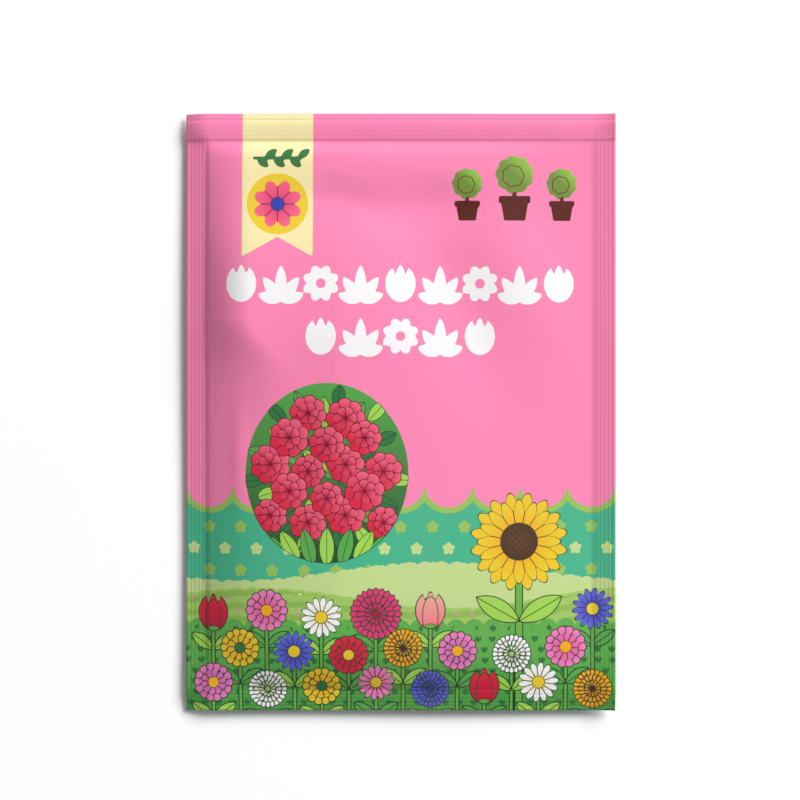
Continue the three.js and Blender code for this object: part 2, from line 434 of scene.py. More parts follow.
def daisy(plates, centre, radius, tint, deep, heart):
    """Long separate petals round a disc."""
    heads = plates["heads"]
    u, v = about(heads.x, heads.y, centre)
    edge = petal_ring(u, v, radius, 14, 0.42, turn=0.1, sharp=0.7)
    shade = blend(deep, tint, 1.4 * np.hypot(u, v) / radius)
    heads.add(edge, shade, petal_seams(u, v, 14, turn=0.1))
    plates["hearts"].add(disc(u, v, 0.30 * radius), heart)


def pompon(plates, centre, radius, tint, deep, heart):
    """A ball of three rings of fine petals, darker towards its middle."""
    heads = plates["heads"]
    u, v = about(heads.x, heads.y, centre)
    rho = np.hypot(u, v)
    middle = petal_ring(u, v, 0.72 * radius, 18, 0.10)
    inner = petal_ring(u, v, 0.42 * radius, 12, 0.12, turn=0.1)
    sides = np.where(middle < 0, petal_seams(u, v, 18), petal_seams(u, v, 24))
    sides = np.where(inner < 0, petal_seams(u, v, 12, turn=0.1), sides)
    line = crossing(crossing(middle, inner), sides)
    heads.add(petal_ring(u, v, radius, 24, 0.10), blend(deep, tint, rho / radius + 0.15), line)
    plates["hearts"].add(disc(u, v, 0.14 * radius), heart)


def tulip(plates, centre, radius, tint, deep, heart):
    """A cup with three points, the middle petal drawn over the side ones."""
    heads = plates["heads"]
    u, v = about(heads.x, heads.y, centre)
    up = (v + radius) / (2 * radius)
    line = oval(u, v + 0.32 * radius, 0.42 * radius, 1.05 * radius)
    heads.add(cup(u, v, 0.80 * radius, radius), blend(deep, tint, up + 0.15), line)
    plates["hearts"].add(oval(u, v + 0.86 * radius, 0.3 * radius, 0.13 * radius), heart)


def cup(u, v, half, radius):
    """A rounded cup, 2 * radius high, whose rim has three points."""
    points = v - radius * (0.45 + 0.55 * np.abs(np.cos(1.5 * np.pi * u / half)))
    return np.maximum(oval(u, v, half, radius), 0.7 * points)


def leaf_pair(plate, foot, length, width, spread, tint):
    """Two leaves from one point of a stem, each with its midrib drawn."""
    for side in (-1, 1):
        u, v = about(plate.x, plate.y, foot, -side * spread)
        plate.add(leaf(u, v, length, width), tint, u)


# ---------------------------------------------------------------- layout of the front

FIELD_LINE = -16.5  # the cusps of the scallops where the pink field meets the teal one
SCALLOP = 100 / 9  # nine of them across the packet
PIPING = 1.3
SPRIG_PITCH, SPRIG_DROP, SPRIG_RADIUS = 7.4, 5.0, 1.5

WINDOW = (-17.0, -14.0)
WINDOW_HALF = (18.8, 20.8)
WINDOW_LEAVES, FRONT_LEAVES = 40, 11
BLOSSOM_ROWS = ((13.2, 2), (7.4, 3), (1.2, 4), (-5.0, 3), (-10.6, 4))  # height and count
BLOSSOM_PITCH = 8.7

SUNFLOWER = (27.5, -30.0)
SUNFLOWER_RADIUS = 11.4

GARLAND_ROWS = ((29.8, 9), (17.6, 5))  # height up the packet, and motifs in the row
GARLAND_PITCH = 9.2
GARLAND_HALF = 4.3
GARLAND_CUP_HALF, GARLAND_HOLE, GARLAND_LEAF = 3.5, 1.15, 2.6

PENNANT_MIDDLE = -28.5
PENNANT_HALF = 8.2
PENNANT_END = 36.0
PENNANT_NOTCH = 4.6
BADGE = (-28.5, 48.3)
BADGE_RADIUS, BADGE_FLOWER, BADGE_HEART = 7.1, 5.7, 1.6
VINE_LEVEL, VINE_HALF, VINE_LEAVES = 59.0, 5.8, 6

POTS = ((15.5, 0.9), (26.5, 1.12), (37.5, 0.9))  # middle and scale of each
POT_FOOT = 44.5
POT_HALF, POT_FLARE, POT_HEIGHT = 2.2, 0.16, 4.2
BUSH_MIDDLE, BUSH_RADIUS = 9.6, 4.0

# The top line of each hill: level, swell, start and length of its wave, bushes and their shift
FAR_LINE = (-37.4, 2.2, -16, 96, 0.6, 0)
NEAR_LINE = (-43.4, 2.4, 34, 88, 0.5, 40)
FURROW_PITCH, FURROW_TILT, FURROW_INSET = 1.5, 0.05, 0.6

BED_TOP = -50.0
HEDGE_FINER = 2.6  # how much finer the bed's scalloped edge is than the pink field's
STEM_FOOT = -71.0
MARK_PITCH, MARK_DROP = 3.3, 2.5  # the small tufts of grass on the bed
BLADE_LENGTH, BLADE_WIDTH, BLADE_LEANS = 1.8, 0.55, (-0.5, 0, 0.5)
SPECK_PITCH, SPECK_RADIUS, SPECK_WANDER = 5.2, 0.42, 1.5  # far flowers on the near hill

# Heads of the three rows of the bed: what each flower is, its size, tints and heart
KINDS = {
    "red tulip": (tulip, 4.3, RED, CRIMSON, STEM_GREEN),
    "salmon tulip": (tulip, 4.3, SALMON, ROSE, STEM_GREEN),
    "pink zinnia": (zinnia, 4.9, CANDY, MAGENTA, ORANGE),
    "gold zinnia": (zinnia, 4.6, YELLOW, ORANGE, LEAF_DEEP),
    "violet zinnia": (zinnia, 4.6, CANDY, VIOLET, ORANGE),
    "red zinnia": (zinnia, 4.6, RED, CRIMSON, YELLOW),
    "white daisy": (daisy, 4.8, WHITE, CREAM, YELLOW),
    "blue daisy": (daisy, 4.8, BLUE, NIGHT_BLUE, YELLOW),
    "pink daisy": (daisy, 4.4, CANDY, ROSE, YELLOW),
    "magenta pompon": (pompon, 6.0, MAGENTA, DEEP_MAGENTA, CRIMSON),
    "blue pompon": (pompon, 4.5, BLUE, NIGHT_BLUE, NIGHT_BLUE),
    "gold pompon": (pompon, 4.6, ORANGE, AMBER, BROWN),
    "cream pompon": (pompon, 4.6, WHITE, LIGHT_HILL, NEAR_HILL),
}
BED_ROWS = (
    # height of the heads, left end, pitch, names; None leaves a space
    (-46.5, -43.5, 12.6, (
        "red tulip", "pink zinnia", "white daisy", "magenta pompon", "salmon tulip", None, None,
        "blue daisy",
    )),
    (-55.3, -37.2, 12.6, (
        "gold zinnia", "blue daisy", "red zinnia", "gold pompon", "violet zinnia",
        "cream pompon", "pink zinnia",
    )),
    (-63.6, -43.5, 12.6, (
        "violet zinnia", "cream pompon", "gold zinnia", "pink daisy", "blue pompon",
        "red tulip", "white daisy", "gold pompon",
    )),
)


def bushes(x):
    """A bushy skyline: the highest of two rows of round bumps."""
    return np.maximum(1.3 * np.abs(np.sin(0.83 * x)), 1.1 * np.abs(np.sin(1.31 * x + 1)))


def hill(x, line):
    """level + swell * sin(2 pi (x - start) / wavelength), and bushes along the top."""
    level, swell, start, wavelength, leafy, shift = line
    wave = np.sin(2 * np.pi * (x - start) / wavelength)
    return level + swell * wave + leafy * bushes(x + shift)


def scallops(x, y, level):
    """Above a row of half discs that hang from a level: less than zero inside."""
    along = (x + SCALLOP / 2) % SCALLOP - SCALLOP / 2
    return np.minimum(level - y, np.hypot(along, y - level) - SCALLOP / 2)


def lay_fields(plates, x, y):
    """The teal field under a scalloped and piped line, the hills and the bed."""
    pink_side = scallops(x, y, FIELD_LINE)
    plates["teal"].add(-pink_side, TEAL)
    plates["sprigs"].add(np.abs(pink_side - PIPING / 2) - PIPING / 2, LIME)

    row = np.round((y - FIELD_LINE) / SPRIG_DROP)
    v = (y - FIELD_LINE) - row * SPRIG_DROP
    shifted = x + (row % 2) * SPRIG_PITCH / 2
    u = (shifted + SPRIG_PITCH / 2) % SPRIG_PITCH - SPRIG_PITCH / 2
    sprig = petal_ring(u, v, SPRIG_RADIUS, 5, 0.35, turn=np.pi / 2)
    clear = -row * SPRIG_DROP > SCALLOP / 2 + PIPING + SPRIG_RADIUS
    plates["sprigs"].add(np.where(clear, sprig, FAR), blend(LIME, LIGHT_HILL, row % 2))

    plates["far_hill"].add(SLANT * (y - hill(x, FAR_LINE)), LIGHT_HILL)
    over_hill = y - hill(x, NEAR_LINE)
    plates["near_hill"].add(SLANT * over_hill, NEAR_HILL)
    furrows = wave_lines(FURROW_TILT * x - over_hill, FURROW_PITCH)
    plates["furrows"].add(np.maximum(furrows, over_hill + FURROW_INSET), FURROW)
    hedge = scallops(HEDGE_FINER * x, -HEDGE_FINER * y, -HEDGE_FINER * BED_TOP) / HEDGE_FINER
    plates["bed"].add(hedge, blend(BED_GREEN, LEAF_DEEP, (BED_TOP - 6 - y) / 30))

    row = np.round((y - BED_TOP) / MARK_DROP)
    v = (y - BED_TOP) - row * MARK_DROP
    wander = np.sin(1.9 * row)
    u = (x + wander * MARK_PITCH) % MARK_PITCH - MARK_PITCH / 2
    for lean in BLADE_LEANS:
        blade = leaf(*about(u, v, (0, -BLADE_LENGTH / 2), lean), BLADE_LENGTH, BLADE_WIDTH)
        plates["marks"].add(np.maximum(blade, hedge + 1.2), LEAF_DEEP)

    row = np.round(y / SPECK_PITCH)
    column = np.floor(x / SPECK_PITCH)
    draw = (column * 7 + row * 5) % 9
    u = x - (column + 0.5) * SPECK_PITCH - SPECK_WANDER * np.sin(2.4 * draw + row)
    v = y - row * SPECK_PITCH - SPECK_WANDER * np.cos(3.7 * draw + column)
    on_hill = np.maximum(over_hill + 0.8, 0.8 - hedge)
    speck = np.maximum(disc(u, v, SPECK_RADIUS), on_hill)
    plates["specks"].add(speck, blend(WHITE, CANDY, draw % 2))


def blossom(plate, centre, radius, turn):
    """A round blossom of two rings of broad petals, light at the rim and deep in the middle."""
    u, v = about(plate.x, plate.y, centre)
    rho = np.hypot(u, v) / radius
    inner = petal_ring(u, v, 0.58 * radius, 6, 0.16, turn + 0.5)
    sides = np.where(inner < 0, petal_seams(u, v, 6, turn + 0.5), petal_seams(u, v, 8, turn))
    share = np.where(inner < 0, 1.7 * rho, 1.1 * rho - 0.1)
    lit = blend(RED, ROSE, 0.6 + 0.6 * (v + u) / radius)
    plate.add(petal_ring(u, v, radius, 8, 0.13, turn), blend(CRIMSON, lit, share),
              crossing(inner, sides))


def lay_window(plates, x, y):
    """An oval window full of round red blossoms over leaves."""
    window = oval(*about(x, y, WINDOW), *WINDOW_HALF)
    ground = blend(SHADE_GREEN, LEAF_GREEN, 0.45 + 0.5 * (y - WINDOW[1]) / WINDOW_HALF[1])
    plates["ground"].add(window, ground)
    for index in range(WINDOW_LEAVES):
        angle = index * GOLDEN_TURN
        reach = math.sqrt((index + 0.5) / WINDOW_LEAVES)
        foot = (WINDOW[0] + 18 * reach * math.cos(angle), WINDOW[1] + 20 * reach * math.sin(angle))
        length = 6.5 + 1.6 * math.sin(1.7 * index)
        u, v = about(x, y, foot, angle - np.pi / 2)
        tint = (LEAF_GREEN, LEAF_LIME, LEAF_DEEP)[index % 3]
        plates["back_leaves"].add(leaf(u, v + length / 2, length, 3.0), tint, u)
    for row, (up, count) in enumerate(BLOSSOM_ROWS):
        plate = plates[("back_blossoms", "blossoms")[row % 2]]
        for index in range(count):
            across = (index - (count - 1) / 2) * BLOSSOM_PITCH
            lift = 0.9 * math.sin(3.1 * index + up)
            centre = (WINDOW[0] + across, WINDOW[1] + up + lift)
            blossom(plate, centre, 4.3 + 0.4 * math.sin(2.3 * index + row), index + up)
    for index in range(FRONT_LEAVES):
        rank = index - FRONT_LEAVES // 2
        foot = (WINDOW[0] + 3.1 * rank, WINDOW[1] - 22.0 + 0.22 * rank**2)
        u, v = about(x, y, foot, -rank * 0.26)
        tint = (LEAF_GREEN, LEAF_LIME)[index % 2]
        plates["front_leaves"].add(leaf(u, v, 9.6 - 0.3 * abs(rank), 3.4), tint, u)
    for name in ("back_leaves", "back_blossoms", "blossoms", "front_leaves"):
        plates[name].keep_inside(window)


def lay_sunflower(plates, x, y):
    """A great yellow flower on a stem with two broad leaves, standing before the hills."""
    middle, up = SUNFLOWER
    u, v = about(x, y, SUNFLOWER)
    rho = np.hypot(u, v) / SUNFLOWER_RADIUS
    plates["stems"].add(stalk(*about(x, y, (middle, STEM_FOOT)), up - STEM_FOOT, 1.7), STEM_GREEN)
    leaf_pair(plates["leaves"], (middle, up - 18.5), 11.5, 4.8, 1.05, LEAF_LIME)
    back = petal_ring(u, v, SUNFLOWER_RADIUS, 16, 0.30, np.pi / 16)
    plates["back_petals"].add(back, blend(ORANGE, YELLOW, rho))
    front = petal_ring(u, v, 0.86 * SUNFLOWER_RADIUS, 16, 0.34)
    shade = blend(ORANGE, YELLOW, 2.2 * rho - 0.6)
    plates["heads"].add(front, shade, petal_seams(u, v, 16))
    seeds = crossing(wave_lines(u + v, 1.5), wave_lines(u - v, 1.5))
    plates["hearts"].add(disc(u, v, 0.38 * SUNFLOWER_RADIUS), blend(BARK, BROWN, 2 * rho), seeds)


def lay_garlands(plates, x, y):
    """Rows of white motifs by turns: a three-pointed cup, a round flower and a fan of leaves."""
    white = plates["white"]
    for up, count in GARLAND_ROWS:
        for index in range(count):
            u, v = about(x, y, ((index - (count - 1) / 2) * GARLAND_PITCH, up))
            if index % 4 == 0:
                white.add(cup(u, v, GARLAND_CUP_HALF, GARLAND_HALF), WHITE)
            elif index % 4 == 2:
                ring = petal_ring(u, v, GARLAND_HALF, 8, 0.26, np.pi / 8)
                white.add(np.maximum(ring, -disc(u, v, GARLAND_HOLE)), WHITE)
            else:
                for rank in range(-2, 3):
                    lu, lv = about(u, v, (0, -GARLAND_HALF), 0.62 * rank)
                    length = 2 * GARLAND_HALF - 1.5 * abs(rank)
                    white.add(leaf(lu, lv, length, GARLAND_LEAF), WHITE)


def lay_pennant(plates, x, y):
    """A cream pennant with a notched end, hanging from the top edge: a vine over a badge."""
    u = x - PENNANT_MIDDLE
    notch = PENNANT_NOTCH * (1 - np.abs(u) / PENNANT_HALF) - (y - PENNANT_END)
    plates["cream"].add(np.maximum(np.abs(u) - PENNANT_HALF, SLANT * notch), CREAM)
    bu, bv = about(x, y, BADGE)
    plates["badge"].add(disc(bu, bv, BADGE_RADIUS), YELLOW)
    petals = petal_ring(bu, bv, BADGE_FLOWER, 8, 0.34, np.pi / 8, sharp=0.8)
    shade = blend(MAGENTA, ROSE, np.hypot(bu, bv) / 5 - 0.1)
    plates["emblems"].add(petals, shade, petal_seams(bu, bv, 8, np.pi / 8))
    plates["hearts"].add(disc(bu, bv, BADGE_HEART), NIGHT_BLUE)
    vine = plates["emblems"]
    branch = about(x, y, (PENNANT_MIDDLE, VINE_LEVEL))
    vine.add(block(*branch, VINE_HALF, 0.35, 0.3), LEAF_DEEP)
    for index in range(VINE_LEAVES):
        side = 1 if index % 2 else -1
        foot = (PENNANT_MIDDLE + 1.9 * (index - (VINE_LEAVES - 1) / 2), VINE_LEVEL)
        u, v = about(x, y, foot, -side * 0.9 + (0 if side > 0 else np.pi))
        vine.add(leaf(u, v, 3.4, 1.8), LEAF_DEEP)


def lay_pots(plates, x, y):
    """A row of brown flower pots, each with a clipped round bush."""
    emblems = plates["emblems"]
    for middle, scale in POTS:
        u, v = (part / scale for part in about(x, y, (middle, POT_FOOT)))
        pot = np.maximum(np.abs(u) - POT_HALF - POT_FLARE * v, np.maximum(-v, v - POT_HEIGHT))
        rim = block(u, v - 4.4, 3.3, 0.75, 0.3)
        bush = petal_ring(u, v - BUSH_MIDDLE, BUSH_RADIUS, 9, 0.10, 0.3)
        emblems.add(scale * block(u, v - 5.8, 0.4, 1.2), BROWN)
        emblems.add(scale * np.minimum(pot, rim), BROWN, scale * (v - 3.6))
        inner = petal_ring(u + 0.3, v - 9.3, 2.3, 7, 0.14)
        lit = blend(SPROUT, LEAF_LIME, (u + v - BUSH_MIDDLE) / 7)
        emblems.add(scale * bush, lit, scale * inner)


def lay_bed(plates, x, y):
    """Three ordered rows of flowers, each on its stem with paired leaves."""
    for row, (up, left, pitch, names) in enumerate(BED_ROWS):
        leaves = plates[("far_leaves", "leaves", "near_leaves")[row]]
        for index, name in enumerate(names):
            if name is None:
                continue
            draw, *look = KINDS[name]
            centre = (left + index * pitch, up + 0.9 * math.sin(2.1 * index + row))
            stem = about(x, y, (centre[0], STEM_FOOT))
            plates["stems"].add(stalk(*stem, centre[1] - STEM_FOOT, 0.85), STEM_GREEN)
            tint = (LEAF_LIME, LEAF_GREEN)[(index + row) % 2]
            leaf_pair(leaves, (centre[0], centre[1] - 8.6), 6.4, 2.8, 0.95, tint)
            draw(plates, centre, *look)


FRONT_PLATES = (
    # name, width of the outline, width of the drawn lines
    ("teal", 0, 0), ("sprigs", 0, 0), ("far_hill", 0, 0), ("near_hill", 0, 0),
    ("furrows", 0, 0), ("bed", 0, 0), ("marks", 0, 0), ("specks", 0, 0), ("ground", 0, 0),
    ("back_leaves", 0.15, 0.15), ("back_blossoms", 0.2, 0.15), ("blossoms", 0.2, 0.15),
    ("front_leaves", 0.15, 0.15), ("far_leaves", 0.25, 0.2), ("stems", 0.25, 0),
    ("leaves", 0.25, 0.2), ("near_leaves", 0.25, 0.2), ("back_petals", 0.25, 0),
    ("heads", 0.25, 0.2), ("white", 0, 0), ("cream", 0, 0), ("badge", 0, 0),
    ("emblems", 0, 0.2), ("hearts", 0.15, 0.2),
)


FRONT_LAYERS = (
    lay_fields, lay_window, lay_sunflower, lay_garlands, lay_pennant, lay_pots, lay_bed
)


def front_print(x, y):
    """All the plates of the front's picture, from the lowest ink to the topmost."""
    plates = {name: Plate(name, x, y, outline, lines) for name, outline, lines in FRONT_PLATES}
    for name in ("back_blossoms", "blossoms", "emblems"):
        plates[name].line_colour = BLOSSOM_LINE
    for lay in FRONT_LAYERS:
        lay(plates, x, y)
    return list(plates.values())


# ---------------------------------------------------------------- layout of the back

PANEL = (0.0, 9.0)
PANEL_HALF = (34.0, 38.0)
BACK_FIELD_LINE = -46
BACK_ROW = -57.5


def back_print(x, y):
    """A plain pink ground over teal, and a cream panel with rows of blank ruled boxes."""
    teal = Plate("teal", x, y)
    teal.add(-scallops(x, y, BACK_FIELD_LINE), TEAL)
    panel = Plate("panel", x, y, outline=0.7, line_colour=LEAF_DEEP)
    panel.add(block(*about(x, y, PANEL), *PANEL_HALF, 4), CREAM)

    boxes = Plate("boxes", x, y, outline=0.3, line_colour=LEAF_DEEP)
    for row in range(2):
        for column in range(6):
            centre = (PANEL[0] + (column - 2.5) * 9.6, PANEL[1] - 17 - 9.6 * row)
            tint = (LEAF_LIME, CREAM, CANDY)[(column + 2 * row) // 3 % 3]
            boxes.add(block(*about(x, y, centre), 4.0, 3.6, 0.8), tint)

    flowers = Plate("flowers", x, y, outline=0.3, lines=0.22)
    leaves = Plate("leaves", x, y, outline=0.3, lines=0.22)
    hearts = Plate("hearts", x, y)
    for index in range(5):
        centre = (PANEL[0] + (index - 2) * 12.2, PANEL[1] + 25)
        if index % 2:
            leaf_pair(leaves, (centre[0], centre[1] - 3), 7, 3, 0.6, LEAF_LIME)
            continue
        u, v = about(x, y, centre)
        petals = petal_ring(u, v, 4.4, 6, 0.28, np.pi / 2)
        flowers.add(petals, ROSE, petal_seams(u, v, 6, np.pi / 2))
        hearts.add(disc(u, v, 1.2), YELLOW)
    for index in range(7):
        u, v = about(x, y, ((index - 3) * 13.0, BACK_ROW))
        petals = petal_ring(u, v, 3.8, 8, 0.26, np.pi / 8)
        flowers.add(petals, (YELLOW, WHITE)[index % 2], petal_seams(u, v, 8, np.pi / 8))
        hearts.add(disc(u, v, 1.4), BARK)
    return [teal, panel, boxes, leaves, flowers, hearts]


# ---------------------------------------------------------------- meshes

INSIDE_SKIP = 4  # the inner face has a point for every fourth one of the outer face
# Where the film's faces lie across its map: the print, then the inner face, then the rim
MAP_PRINT, MAP_INSIDE, MAP_RIM = (0, 0.95), (0.955, 0.975), (0.98, 0.995)


def run(low, high, step, whole=INSIDE_SKIP):
    """Even stops from low up to high, about a step apart, a multiple of whole, less the last."""
    count = whole * max(1, round((high - low) / step / whole))
    return np.linspace(low, high, count + 1)[:-1]


def stops(bottom_up):
    """Joined runs of stops, each given as low, high and step."""
    parts = [run(*section) for section in bottom_up]
    return np.concatenate([*parts, [bottom_up[-1][1]]])


def rim_loop(columns, rows):
    """The numbers of a grid's outer points in one anticlockwise loop."""
    south = np.arange(columns)
    east = columns - 1 + columns * np.arange(1, rows)
    north = (rows - 1) * columns + np.arange(columns - 2, -1, -1)
    west = columns * np.arange(rows - 2, 0, -1)
    return np.concatenate([south, east, north, west])


def grid_quads(columns, rows, first=0):
    """Four point numbers a cell, anticlockwise seen from +Z."""
    corner = first + np.arange((rows - 1) * columns).reshape(rows - 1, columns)[:, :-1].ravel()
    return np.stack([corner, corner + 1, corner + columns + 1, corner + columns], 1)


def new_mesh(name, points, quads, triangles):
    """A mesh from whole arrays of points in millimetres and faces."""
    mesh = bpy.data.meshes.new(name)
    corners = np.concatenate([quads.ravel(), triangles.ravel()]).astype(np.int32)
    totals = np.concatenate([np.full(len(quads), 4), np.full(len(triangles), 3)])
    starts = np.concatenate([[0], np.cumsum(totals)[:-1]]).astype(np.int32)
    mesh.vertices.add(len(points))
    mesh.vertices.foreach_set("co", (points * MM).astype(np.float32).ravel())
    mesh.loops.add(len(corners))
    mesh.loops.foreach_set("vertex_index", corners)
    mesh.polygons.add(len(totals))
    mesh.polygons.foreach_set("loop_start", starts)
    mesh.polygons.foreach_set("use_smooth", np.ones(len(totals), bool))
    mesh.update(calc_edges=True)
    mesh.validate()
    return mesh


def add_piece(name, mesh, material):
    """An object at the origin, unturned, whose place is in its mesh."""
    piece = bpy.data.objects.new(name, mesh)
    bpy.context.scene.collection.objects.link(piece)
    mesh.materials.append(material)
    return piece


def give_value(mesh, name, values):
    """One number a point, for the materials to read."""
    mesh.attributes.new(name, "FLOAT", "POINT").data.foreach_set(
        "value", np.asarray(values, np.float32)
    )


def give_colour(mesh, name, values):
    """One colour a point, for the materials to read."""
    full = np.concatenate([values, np.ones((len(values), 1))], 1)
    mesh.attributes.new(name, "FLOAT_COLOR", "POINT").data.foreach_set(
        "color", full.astype(np.float32).ravel()
    )


def rim_strip(outer_rim, inner_rim):
    """Triangles from a loop of outer points to a coarser inner one, and their place in the map.

    A block of the rim is INSIDE_SKIP triangles from one inner point, then one back. The map has
    the loop unrolled: along runs from 0 to 1 round it, across is 0 outside and 1 inside.
    """
    count = len(outer_rim)
    point = np.arange(count)
    block = point // INSIDE_SKIP
    fans = np.stack([np.roll(outer_rim, -1), outer_rim, inner_rim[block]], 1)
    fans_along = np.stack([point + 1, point, block * INSIDE_SKIP], 1) / count
    start = np.arange(len(inner_rim)) * INSIDE_SKIP
    end = start + INSIDE_SKIP
    backs = np.stack([inner_rim, np.roll(inner_rim, -1), outer_rim[end % count]], 1)
    backs_along = np.stack([start, end, end], 1) / count
    across = np.repeat([[0, 0, 1], [1, 1, 0]], [len(fans), len(backs)], axis=0)
    return np.concatenate([fans, backs]), np.concatenate([fans_along, backs_along]), across


def film_mesh(name, xs, ys, outside, inside, print_on):
    """A closed film: a fine printed face, a coarse inner face and a strip round the rim.

    Both faces are height fields over the same outline, and the rim joins every INSIDE_SKIP-th
    outer point to an inner one.
    """
    grid_x, grid_y = (part.ravel() for part in np.meshgrid(xs, ys))
    inner_xs, inner_ys = xs[::INSIDE_SKIP], ys[::INSIDE_SKIP]
    coarse_x, coarse_y = (part.ravel() for part in np.meshgrid(inner_xs, inner_ys))
    outer = np.stack([grid_x, grid_y, outside(grid_x, grid_y)], 1)
    inner = np.stack([coarse_x, coarse_y, inside(coarse_x, coarse_y)], 1)

    outer_quads = grid_quads(len(xs), len(ys))
    inner_quads = grid_quads(len(inner_xs), len(inner_ys), len(outer))[:, ::-1]
    outer_rim = rim_loop(len(xs), len(ys))
    inner_rim = rim_loop(len(inner_xs), len(inner_ys)) + len(outer)
    triangles, along, across = rim_strip(outer_rim, inner_rim)
    quads = np.concatenate([outer_quads, inner_quads])
    if outer[:, 2].mean() < inner[:, 2].mean():
        quads, triangles, along, across = (
            part[:, ::-1] for part in (quads, triangles, along, across)
        )

    points = np.concatenate([outer, inner])
    mesh = new_mesh(name, points, quads, triangles)
    mesh.set_sharp_from_angle(angle=math.radians(60))

    face_up = np.concatenate([np.ones(len(outer)), np.zeros(len(inner))])
    give_value(mesh, "printed_side", face_up)
    no_ink, no_tint = np.full(len(inner), FAR), np.ones((len(inner), 3))
    for plate in print_on(grid_x, grid_y):
        give_value(mesh, plate.name + "_edge", np.concatenate([plate.edge, no_ink]))
        give_colour(mesh, plate.name + "_tint", np.concatenate([plate.tint, no_tint]))
        if plate.lines:
            give_value(mesh, plate.name + "_line", np.concatenate([plate.line, no_ink]))

    # The map: flat over both faces, and the rim as an upright strip beside them
    place = points[quads.ravel()]
    flat = (place[:, :2] + (HALF_WIDTH, HALF_HEIGHT)) / (2 * HALF_WIDTH, 2 * HALF_HEIGHT)
    printed = np.arange(len(flat)) < outer_quads.size
    columns = np.where(printed[:, None], MAP_PRINT, MAP_INSIDE)
    u = columns[:, 0] + (columns[:, 1] - columns[:, 0]) * flat[:, 0]
    rim_u = MAP_RIM[0] + (MAP_RIM[1] - MAP_RIM[0]) * across.ravel()
    uv = np.stack([np.concatenate([u, rim_u]), np.concatenate([flat[:, 1], along.ravel()])], 1)
    layer = mesh.uv_layers.new(name="OFBake")
    layer.data.foreach_set("uv", np.clip(uv, 0, 1).astype(np.float32).ravel())
    return mesh


# ---------------------------------------------------------------- materials


class Tree:
    """A material's nodes, added one after another."""

    def __init__(self, name):
        self.material = bpy.data.materials.new(name)
        self.material.use_nodes = True
        self.nodes = self.material.node_tree.nodes
        self.links = self.material.node_tree.links
        self.shader = self.nodes["Principled BSDF"]

    def add(self, kind, **settings):
        """A node with its settings."""
        node = self.nodes.new(kind)
        for setting, value in settings.items():
            setattr(node, setting, value)
        return node

    def link(self, source, target):
        """Joins an output socket to an input socket."""
        self.links.new(source, target)

    def attribute(self, name, colour=False):
        """A number or a colour that each point of the mesh holds."""
        node = self.add("ShaderNodeAttribute", attribute_name=name)
        return node.outputs["Color" if colour else "Fac"]

    def remap(self, value, low, high, to_low=0.0, to_high=1.0):
        """Stretches low to high over to_low to to_high, held at both ends."""
        node = self.add("ShaderNodeMapRange")
        self.link(value, node.inputs["Value"])
        for socket, number in (
            ("From Min", low), ("From Max", high), ("To Min", to_low), ("To Max", to_high)
        ):
            node.inputs[socket].default_value = number
        return node.outputs["Result"]

    def math(self, operation, first, second=None):
        """One operation on one or two values, each a socket or a fixed number."""
        node = self.add("ShaderNodeMath", operation=operation)
        for socket, value in zip(node.inputs, (first, second)):
            if isinstance(value, bpy.types.NodeSocket):
                self.link(value, socket)
            elif value is not None:
                socket.default_value = value
        return node.outputs[0]

    def mix(self, share, below, above):
        """Two colours, each a socket or a fixed colour, mixed by a share."""
        node = self.add("ShaderNodeMix", data_type="RGBA")
        self.link(share, node.inputs["Factor"])
        colours = [socket for socket in node.inputs if socket.type == "RGBA"]
        for socket, value in zip(colours, (below, above)):
            if isinstance(value, bpy.types.NodeSocket):
                self.link(value, socket)
            else:
                socket.default_value = (*value, 1)
        return [socket for socket in node.outputs if socket.type == "RGBA"][0]

    def noise(self, scale, detail=2.0, roughness=0.5, stretch=(1, 1, 1)):
        """Noise over the piece's own coordinates; scale is in waves a metre."""
        place = self.add("ShaderNodeTexCoord").outputs["Object"]
        if stretch != (1, 1, 1):
            mapping = self.add("ShaderNodeMapping")
            mapping.inputs["Scale"].default_value = stretch
            self.link(place, mapping.inputs["Vector"])
            place = mapping.outputs["Vector"]
        node = self.add("ShaderNodeTexNoise")
        node.inputs["Scale"].default_value = scale
        node.inputs["Detail"].default_value = detail
        node.inputs["Roughness"].default_value = roughness
        self.link(place, node.inputs["Vector"])
        return node.outputs["Fac"]

    def bump(self, height, strength, distance):
        """Roughens the shader's surface; distance is in metres."""
        node = self.add("ShaderNodeBump")
        node.inputs["Strength"].default_value = strength
        node.inputs["Distance"].default_value = distance
        self.link(height, node.inputs["Height"])
        self.link(node.outputs["Normal"], self.shader.inputs["Normal"])


INK_SOFTNESS = 0.05  # half the width over which an ink's edge fades
NOISE_SPAN = (0.3, 0.7)  # nearly all of a noise's values lie between these
FILM_ROUGHNESS = (0.40, 0.50)
SEED_ROUGHNESS = (0.45, 0.68)
SOFT_SHINE = 0.2


